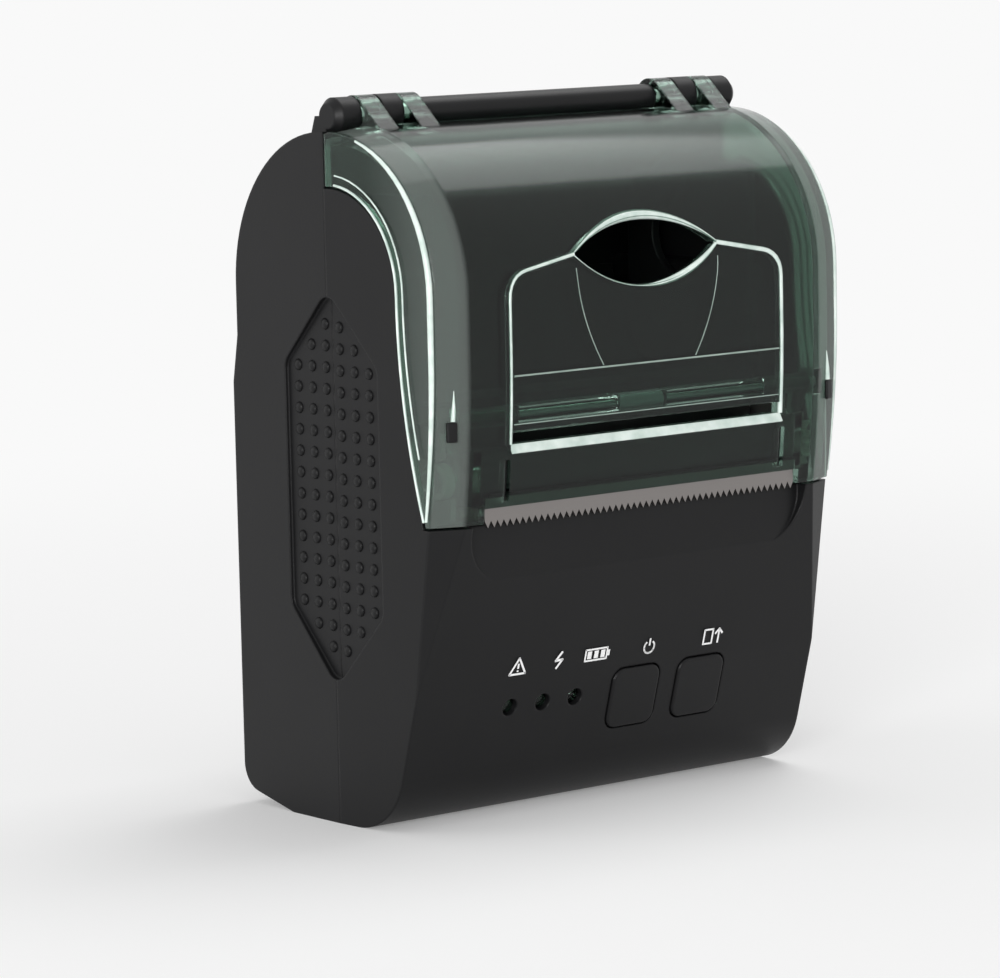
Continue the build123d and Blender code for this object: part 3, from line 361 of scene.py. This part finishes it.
# White pictograms over lamps and buttons, in mm. Each has its place across the panel and its strokes:
# the points, the width, and whether the stroke closes on itself
signs = {
    "rise": 7.55,            # above the middle of the buttons, along the slope
    "thick": 0.03, "overlap": 0.6,       # how far a bar's end runs past its point, as a share of its width
    "pictograms": {
        "warning": (-19.7, [([(-1.45, -1.15), (1.45, -1.15), (0, 1.25)], 0.30, True),
                            ([(0, 0.35), (0, -0.25)], 0.30, False),
                            ([(0, -0.68), (0, -0.72)], 0.30, False)]),
        "bolt": (-12.2, [([(0.35, 1.2), (-0.65, -0.05), (0.60, 0.05), (-0.35, -1.2)], 0.34, False)]),
        "battery": (-5.1, [([(-2.2, -0.85), (1.8, -0.85), (1.8, 0.85), (-2.2, 0.85)], 0.26, True),
                           ([(2.15, -0.35), (2.15, 0.35)], 0.34, False),
                           ([(-1.45, -0.35), (-1.45, 0.35)], 0.75, False),
                           ([(-0.2, -0.35), (-0.2, 0.35)], 0.75, False),
                           ([(1.05, -0.35), (1.05, 0.35)], 0.75, False)]),
        "power": (4.75, [(powerArc, 0.28, False),
                         ([(0, 0.15), (0, 1.1)], 0.28, False)]),
        "feed": (16.8, [([(-1.5, -1.1), (-1.5, 1.1), (0.1, 1.1), (0.1, -1.1)], 0.28, True),
                        ([(1.3, -1.1), (1.3, 0.9)], 0.30, False),
                        ([(0.65, 0.35), (1.3, 1.05), (1.95, 0.35)], 0.30, False)]),
    },
}


# One bar of white ink on the panel between two points
def addBarOfInk(start, end, width):
    run = Vector((end[0] - start[0], end[1] - start[1]))
    bpy.ops.object.select_all(action="DESELECT")
    bpy.ops.mesh.primitive_cube_add(size=1)
    bar = bpy.context.active_object
    along = panelAcross * (run.x / run.length) + panelUp * (run.y / run.length)
    middle = panel["origin"] + (panelAcross * (start[0] + end[0]) + panelUp * (start[1] + end[1])) / 2 * mm
    turn = Matrix((along, panelOut.cross(along), panelOut)).transposed()
    size = Vector((run.length + width * signs["overlap"], width, signs["thick"])) * mm
    bar.matrix_world = Matrix.Translation(middle) @ turn.to_4x4() @ Matrix.Diagonal((*size, 1))
    return bar


inkBars = []
for across, strokes in signs["pictograms"].values():
    for points, width, closed in strokes:
        placed = [(x + across, z + signs["rise"]) for x, z in points]
        following = placed[1:] + placed[:1] if closed else placed[1:]
        inkBars += [addBarOfInk(start, end, width) for start, end in zip(placed, following)]
settle(joinAll(inkBars), "panelSigns", "whiteInk", "housing")
print("stage: signs,", len(inkBars), "bars")

# The clear cover's outer form, in mm: where its faces stand in Y, and the heights where they bend
coverFront = {"upright": -24.0, "low": -22.3, "roofRadius": 22.7}
sideBand = {"upright": -22.0, "low": -19.9, "roofRadius": 22.0}
coverHeights = {"low": 43.7, "bend": 68.0, "roof": 75.3}
leverWindow = {
    "half": 25.3, "sill": 54.4, "shoulder": 77.6,
    "lensCorner": (13.25, 79.8), "lensTop": 84.2, "lensLow": 74.8,
    "leaning": (60, 66),         # heights of the rim's points where the front leans back
    "cornerRun": 3.33,           # how far the round corner reaches along both of its sides
}


# Y of an outer face of the cover at a height
def faceY(z, face):
    if z > coverHeights["roof"]:
        rise = min(z - coverHeights["roof"], face["roofRadius"])
        return face["upright"] + face["roofRadius"] - sqrt(face["roofRadius"] ** 2 - rise ** 2)
    if z < coverHeights["bend"]:
        drop = coverHeights["bend"] - coverHeights["low"]
        tuck = face["low"] - face["upright"]
        radius = (drop ** 2 + tuck ** 2) / (2 * tuck)
        return face["upright"] + radius - sqrt(radius ** 2 - (coverHeights["bend"] - z) ** 2)
    return face["upright"]


# A point on the curve that starts at a towards b and ends at c
def bow(a, b, c, t):
    return (1 - t) ** 2 * a + 2 * t * (1 - t) * b + t ** 2 * c


# A round bead along points in mm, with its own radius at each of them and closed ends
def addBead(points, radii):
    curve = bpy.data.curves.new("bead", "CURVE")
    curve.dimensions = "3D"
    curve.bevel_depth = mm
    curve.bevel_resolution = 2
    curve.use_fill_caps = True
    spline = curve.splines.new("POLY")
    spline.points.add(len(points) - 1)
    for point, place, radius in zip(spline.points, points, radii):
        point.co = (*(Vector(place) * mm), 1)
        point.radius = radius
    bead = bpy.data.objects.new("bead", curve)
    bpy.context.collection.objects.link(bead)
    bpy.ops.object.select_all(action="DESELECT")
    bead.select_set(True)
    bpy.context.view_layer.objects.active = bead
    bpy.ops.object.convert(target="MESH")
    bpy.ops.object.shade_smooth()
    return bpy.context.active_object


# A bead on the cover's front through points (x, z), sunk into it by a share of its radius
def addFrontBead(points, radii, sunk):
    places = [(x, faceY(z, coverFront) + sunk * radius, z) for (x, z), radius in zip(points, radii)]
    return addBead(places, radii)


# Points on the arc that joins the lens' corners through a height in the middle
def lensArc(middleZ, count):
    halfWidth, cornerZ = leverWindow["lensCorner"]
    rise = middleZ - cornerZ
    radius = (halfWidth ** 2 + rise ** 2) / (2 * rise)       # below zero where the arc hangs down
    points = []
    for i in range(count):
        x = halfWidth * (2 * i / (count - 1) - 1)
        reach = sqrt(radius ** 2 - x ** 2)
        points.append((x, middleZ - radius + (reach if radius > 0 else -reach)))
    return points


# Half of the window's outline, from the sill round the shoulder to the lens' corner
def windowOutline(steps=6):
    lensX, lensZ = leverWindow["lensCorner"]
    shoulder = Vector((leverWindow["half"], leverWindow["shoulder"]))
    upright = shoulder - Vector((0, leverWindow["cornerRun"]))
    slant = shoulder + (Vector((lensX, lensZ)) - shoulder).normalized() * leverWindow["cornerRun"]
    points = [(upright.x, z) for z in (leverWindow["sill"], *leverWindow["leaning"], upright.y)]
    for i in range(1, steps + 1):
        x = bow(upright.x, shoulder.x, slant.x, i / steps)
        z = bow(upright.y, shoulder.y, slant.y, i / steps)
        points.append((x, z))
    return points + [(lensX, lensZ)]


# Painted highlights: pale beads round the lever's window and in two crescents on the lens, thicker on the
# right
litRims = {
    "window": {-1: 0.270, 1: 0.375},         # radius of the bead on the left and on the right side
    "sunk": 0.6,
    "lensCount": 25, "lensSunk": 0.9,
    "lensLift": 0.2,                          # the crescents' middles stand this far off the cut
    "upperThin": 0.12, "upperSwell": 0.62, "upperLean": 0.85, "upperSharp": 1.3,
    "lowerThin": 0.10, "lowerSwell": 0.40,
    "lowerFrom": 0.45, "lowerSpan": 0.62,     # the lower crescent swells only in its right half
}
bandEdgeHighlight = {
    "x": 37.7, "inset": 0.15, "lowZ": 44.6,
    "steps": 14,       # points up the front, and as many again over the roof
    "turn": 5.2,       # degrees between the points over the roof
    "thin": 0.20, "swell": 0.25,
}
latchGlints = {
    "x": (35.1, 35.0, 34.9), "y": (-23.0, -23.1, -23.1), "z": (58.4, 60.2, 62.6),
    "radii": (0.35, 0.28, 0.04),
}
seamHighlights = {
    "x": 37.85,
    "turn": 6,         # degrees from one point to the next over the quarter turn
    "steps": 12,       # points from there down to the foot
    # radius round the hinge end, then Y and Z of the foot, and the bead's radius
    "lines": ((14.75, -19.55, 44.5, 0.20), (16.1, -18.9, 53.1, 0.13)),
}


# A painted highlight along the outer edge of a side band, from its foot up and over the roof
def addBandEdgeHighlight(side):
    climb = (coverHeights["roof"] - bandEdgeHighlight["lowZ"]) / bandEdgeHighlight["steps"]
    heights = [bandEdgeHighlight["lowZ"] + climb * i for i in range(bandEdgeHighlight["steps"] + 1)]
    points = [(side * bandEdgeHighlight["x"], faceY(z, sideBand) + bandEdgeHighlight["inset"], z) for z in heights]
    for i in range(1, bandEdgeHighlight["steps"] + 1):
        turn = radians(i * bandEdgeHighlight["turn"])
        points.append((side * bandEdgeHighlight["x"],
                       sideBand["upright"] + bandEdgeHighlight["inset"] + sideBand["roofRadius"] * (1 - cos(turn)),
                       coverHeights["roof"] + (sideBand["roofRadius"] - bandEdgeHighlight["inset"]) * sin(turn)))
    last = len(points) - 1
    radii = [bandEdgeHighlight["thin"] + bandEdgeHighlight["swell"] * sin(pi * i / last) for i in range(last + 1)]
    return addBead(points, radii)


# One painted highlight, a pale line beside the seam between the cover and the shells, on a side face
def addSeamHighlight(side, radius, footY, footZ, width):
    x = side * seamHighlights["x"]
    roof = coverHeights["roof"]
    points = [(x, -radius * sin(radians(turn)), roof + radius * cos(radians(turn)))
              for turn in range(seamHighlights["turn"], 91, seamHighlights["turn"])]
    for i in range(1, seamHighlights["steps"] + 1):
        share = i / seamHighlights["steps"]
        points.append((x, -radius + (footY + radius) * share ** 2, roof - (roof - footZ) * share))
    return addBead(points, [width] * len(points))


rimHighlights = []
outline = windowOutline()
for side in (-1, 1):
    rimHighlights.append(addFrontBead([(side * x, z) for x, z in outline], [litRims["window"][side]] * len(outline),
                             litRims["sunk"]))
shares = [i / (litRims["lensCount"] - 1) for i in range(litRims["lensCount"])]
upperArc = [(x, z + litRims["lensLift"]) for x, z in lensArc(leverWindow["lensTop"], litRims["lensCount"])]
upperWaves = [max(0.0, sin(pi * share ** litRims["upperLean"])) ** litRims["upperSharp"] for share in shares]
upperRadii = [litRims["upperThin"] + litRims["upperSwell"] * wave for wave in upperWaves]
rimHighlights.append(addFrontBead(upperArc, upperRadii, litRims["lensSunk"]))
for side in (-1, 1):
    rimHighlights.append(addBandEdgeHighlight(side))
    glint = [(side * x, y, z) for x, y, z in zip(latchGlints["x"], latchGlints["y"], latchGlints["z"])]
    rimHighlights.append(addBead(glint, latchGlints["radii"]))
    rimHighlights += [addSeamHighlight(side, *line) for line in seamHighlights["lines"]]
settle(joinAll(rimHighlights), "coverLitEdges", "paintedHighlight", "cover")

# The lower crescent's painted highlight, which swells only in its right half
lowerArc = [(x, z - litRims["lensLift"]) for x, z in lensArc(leverWindow["lensLow"], litRims["lensCount"])]
lowerTurns = [pi * max(0.0, share - litRims["lowerFrom"]) / litRims["lowerSpan"] for share in shares]
lowerRadii = [litRims["lowerThin"] + litRims["lowerSwell"] * max(0.0, sin(turn)) for turn in lowerTurns]
lowerRimHighlight = addFrontBead(lowerArc, lowerRadii, litRims["lensSunk"])
settle(lowerRimHighlight, "leverLitEdge", "paintedHighlight", "lever")

# Painted highlights along the lever's rib, its lower edge and its two bowed lines
leverLines = {
    "half": 24.8, "sunk": 0.6,
    "levels": ((63.8, 0.15), (57.1, 0.09)),      # height and radius: the rib, then the lower edge's line
    "bowX": (13.2, 12.9, 8.6), "bowZ": (77.9, 64.1), "bowRadius": 0.10, "bowSteps": 12,
}
lines = [addFrontBead([(-leverLines["half"], z), (leverLines["half"], z)], [radius] * 2, leverLines["sunk"])
         for z, radius in leverLines["levels"]]
for side in (-1, 1):
    points = []
    for i in range(leverLines["bowSteps"] + 1):
        share = i / leverLines["bowSteps"]
        topZ, lowZ = leverLines["bowZ"]
        points.append((side * bow(*leverLines["bowX"], share), topZ + (lowZ - topZ) * share))
    lines.append(addFrontBead(points, [leverLines["bowRadius"]] * len(points), leverLines["sunk"]))
settle(joinAll(lines), "leverLines", "faintPaintedHighlight", "lever")
print("stage: pale edges and lines")

blockEdge = {"share": 0.2, "segments": 2}        # width of the rounded edges, as a share of the thinnest side


# A block of a size in mm at a place in mm, turned by degrees, with its edges rounded over
def addBlock(centre, size, tilt=(0, 0, 0)):
    bpy.ops.object.select_all(action="DESELECT")
    bpy.ops.mesh.primitive_cube_add(size=1, location=Vector(centre) * mm,
                                    rotation=[radians(turn) for turn in tilt])
    block = bpy.context.active_object
    block.scale = Vector(size) * mm
    bpy.ops.object.transform_apply(location=False, rotation=False, scale=True)
    bpy.ops.object.mode_set(mode="EDIT")
    bpy.ops.mesh.select_all(action="SELECT")
    bpy.ops.mesh.bevel(offset=min(size) * blockEdge["share"] * mm, segments=blockEdge["segments"])
    bpy.ops.object.mode_set(mode="OBJECT")
    return block


# A pale block on the sill's bevel paints in the reflection that the sill shows
sillPaintedHighlight = {"centre": (0, -23.45, 53.75), "size": (50.6, 0.35, 1.35), "tilt": (-28, 0, 0)}
settle(addBlock(**sillPaintedHighlight), "sillPaintedHighlight", "paintedHighlight", "cover")

mouthParts = {
    "latch": {"centre": (35.3, -22.95, 56.9), "size": (1.5, 0.5, 2.7), "turn": 20},      # on both side bevels
    "slot": {"x": 25.7, "heights": (46.6, 48, 49.5, 51, 52.2), "depth": 0.9, "radius": 0.45},
    # bladeShade is painted shade: a black bar standing in for the shadow in the gap over the tear bar
    "bladeShade": {"centre": (0, -21.75, 47.45), "size": (57.0, 0.5, 0.55)},     # dark line over the tear bar
}
latch = mouthParts["latch"]
slot = mouthParts["slot"]
dark = []
for side in (-1, 1):
    x, y, z = latch["centre"]
    dark.append(addBlock((side * x, y, z), latch["size"], (0, 0, side * latch["turn"])))
    filling = [(side * slot["x"], faceY(z, coverFront) + slot["depth"], z) for z in slot["heights"]]
    dark.append(addBead(filling, [slot["radius"]] * len(filling)))
dark.append(addBlock(**mouthParts["bladeShade"]))
settle(joinAll(dark), "darkParts", "mouldedBlackAbs", "cover")
print("stage: sill and dark parts of the mouth")

studio = {
    "floorColour": "#fafafa", "floorHalf": 12.0,
    "farStart": 0.09, "farEnd": 0.45,       # where the floor turns into plain backdrop, in m
    "farColour": "#f9f9f9",
    "nearShare": 0.20,        # backdrop mixed into the floor at the printer, so that its shadow stays pale
    "skyDiffuse": 0.50,       # what lights the object
    "skySeen": 0.95,          # what the camera, gloss and clear plastic see
    "lampsAimAt": (0, 0, 0.05),
}
softboxes = {
    "overheadSoftbox": {"place": (0.52, 0.06, 1.15), "size": 0.80, "power": 5.6},
    "cameraSoftbox": {"place": (-1.12, -0.88, 0.27), "size": 0.50, "power": 15.0},
    "leftSoftbox": {"place": (-1.2, 0.9, 0.6), "size": 0.70, "power": 2.2},
}


# Gives 1 for what the camera, gloss and clear plastic see, and 0 for the light that falls on things
def addSeenShare(tree):
    path = addNode(tree, "ShaderNodeLightPath")
    cameraOrGloss = addNode(tree, "ShaderNodeMath", {"operation": "MAXIMUM"},
                            {0: (path, "Is Camera Ray"), 1: (path, "Is Glossy Ray")})
    return addNode(tree, "ShaderNodeMath", {"operation": "MAXIMUM"},
                   {0: (cameraOrGloss, "Value"), 1: (path, "Is Transmission Ray")})


bpy.ops.object.select_all(action="DESELECT")
bpy.ops.mesh.primitive_plane_add(size=2 * studio["floorHalf"])
floor = bpy.context.active_object
floor.name = "studioFloor"

# Matt paper under the printer, which goes over into an even backdrop further out
floorMaterial, tree = newMaterial("studioPaper")
place = addNode(tree, "ShaderNodeTexCoord")
distance = addNode(tree, "ShaderNodeVectorMath", {"operation": "LENGTH"}, {"Vector": (place, "Object")})
far = addNode(tree, "ShaderNodeMapRange",
              {"interpolation_type": "SMOOTHSTEP", "From Min": studio["farStart"],
               "From Max": studio["farEnd"], "To Min": studio["nearShare"]}, {"Value": (distance, "Value")})
share = addNode(tree, "ShaderNodeMath", {"operation": "MULTIPLY"},
                {0: (far, "Result"), 1: (addSeenShare(tree), "Value")})
paper = addNode(tree, "ShaderNodeBsdfDiffuse", {"Color": linear(studio["floorColour"])})
backdrop = addNode(tree, "ShaderNodeEmission", {"Color": linear(studio["farColour"])})
blend = addNode(tree, "ShaderNodeMixShader",
                links={"Fac": (share, "Value"), 1: (paper, "BSDF"), 2: (backdrop, "Emission")})
addNode(tree, "ShaderNodeOutputMaterial", links={"Surface": (blend, "Shader")})
floor.data.materials.append(floorMaterial)

world = bpy.data.worlds.new("studioSky")
bpy.context.scene.world = world
world.use_nodes = True
tree = world.node_tree
tree.nodes.clear()
level = addNode(tree, "ShaderNodeMapRange", {"To Min": studio["skyDiffuse"], "To Max": studio["skySeen"]},
                {"Value": (addSeenShare(tree), "Value")})
sky = addNode(tree, "ShaderNodeBackground", {"Color": linear("#ffffff")}, {"Strength": (level, "Result")})
addNode(tree, "ShaderNodeOutputWorld", links={"Surface": (sky, "Background")})

for name, softbox in softboxes.items():
    lampData = bpy.data.lights.new(name, "AREA")
    lampData.shape = "SQUARE"
    lampData.size = softbox["size"]
    lampData.energy = softbox["power"]
    lamp = bpy.data.objects.new(name, lampData)
    bpy.context.scene.collection.objects.link(lamp)
    lamp.location = softbox["place"]
    aim = Vector(studio["lampsAimAt"]) - lamp.location
    lamp.rotation_euler = aim.to_track_quat("-Z", "Y").to_euler()

# The photograph's view
photoCamera = {
    "place": (-0.436476, -0.518721, 0.129912),       # in metres
    "right": (0.76903, -0.63882, -0.02240),
    "up": (0.09748, 0.08257, 0.99181),
    "back": (-0.63174, -0.76491, 0.12577),
    "lens": 170.0, "sensor": 36.0, "clip": (0.01, 60),
}
cameraData = bpy.data.cameras.new("photoCamera")
cameraData.lens = photoCamera["lens"]
cameraData.sensor_width = photoCamera["sensor"]
cameraData.clip_start, cameraData.clip_end = photoCamera["clip"]
camera = bpy.data.objects.new("photoCamera", cameraData)
bpy.context.scene.collection.objects.link(camera)
turn = Matrix((photoCamera["right"], photoCamera["up"], photoCamera["back"])).transposed()
camera.matrix_world = Matrix.Translation(photoCamera["place"]) @ turn.to_4x4()
bpy.context.scene.camera = camera
bpy.context.scene.view_settings.view_transform = "Standard"
print("stage: studio and camera")

bpy.context.view_layer.update()
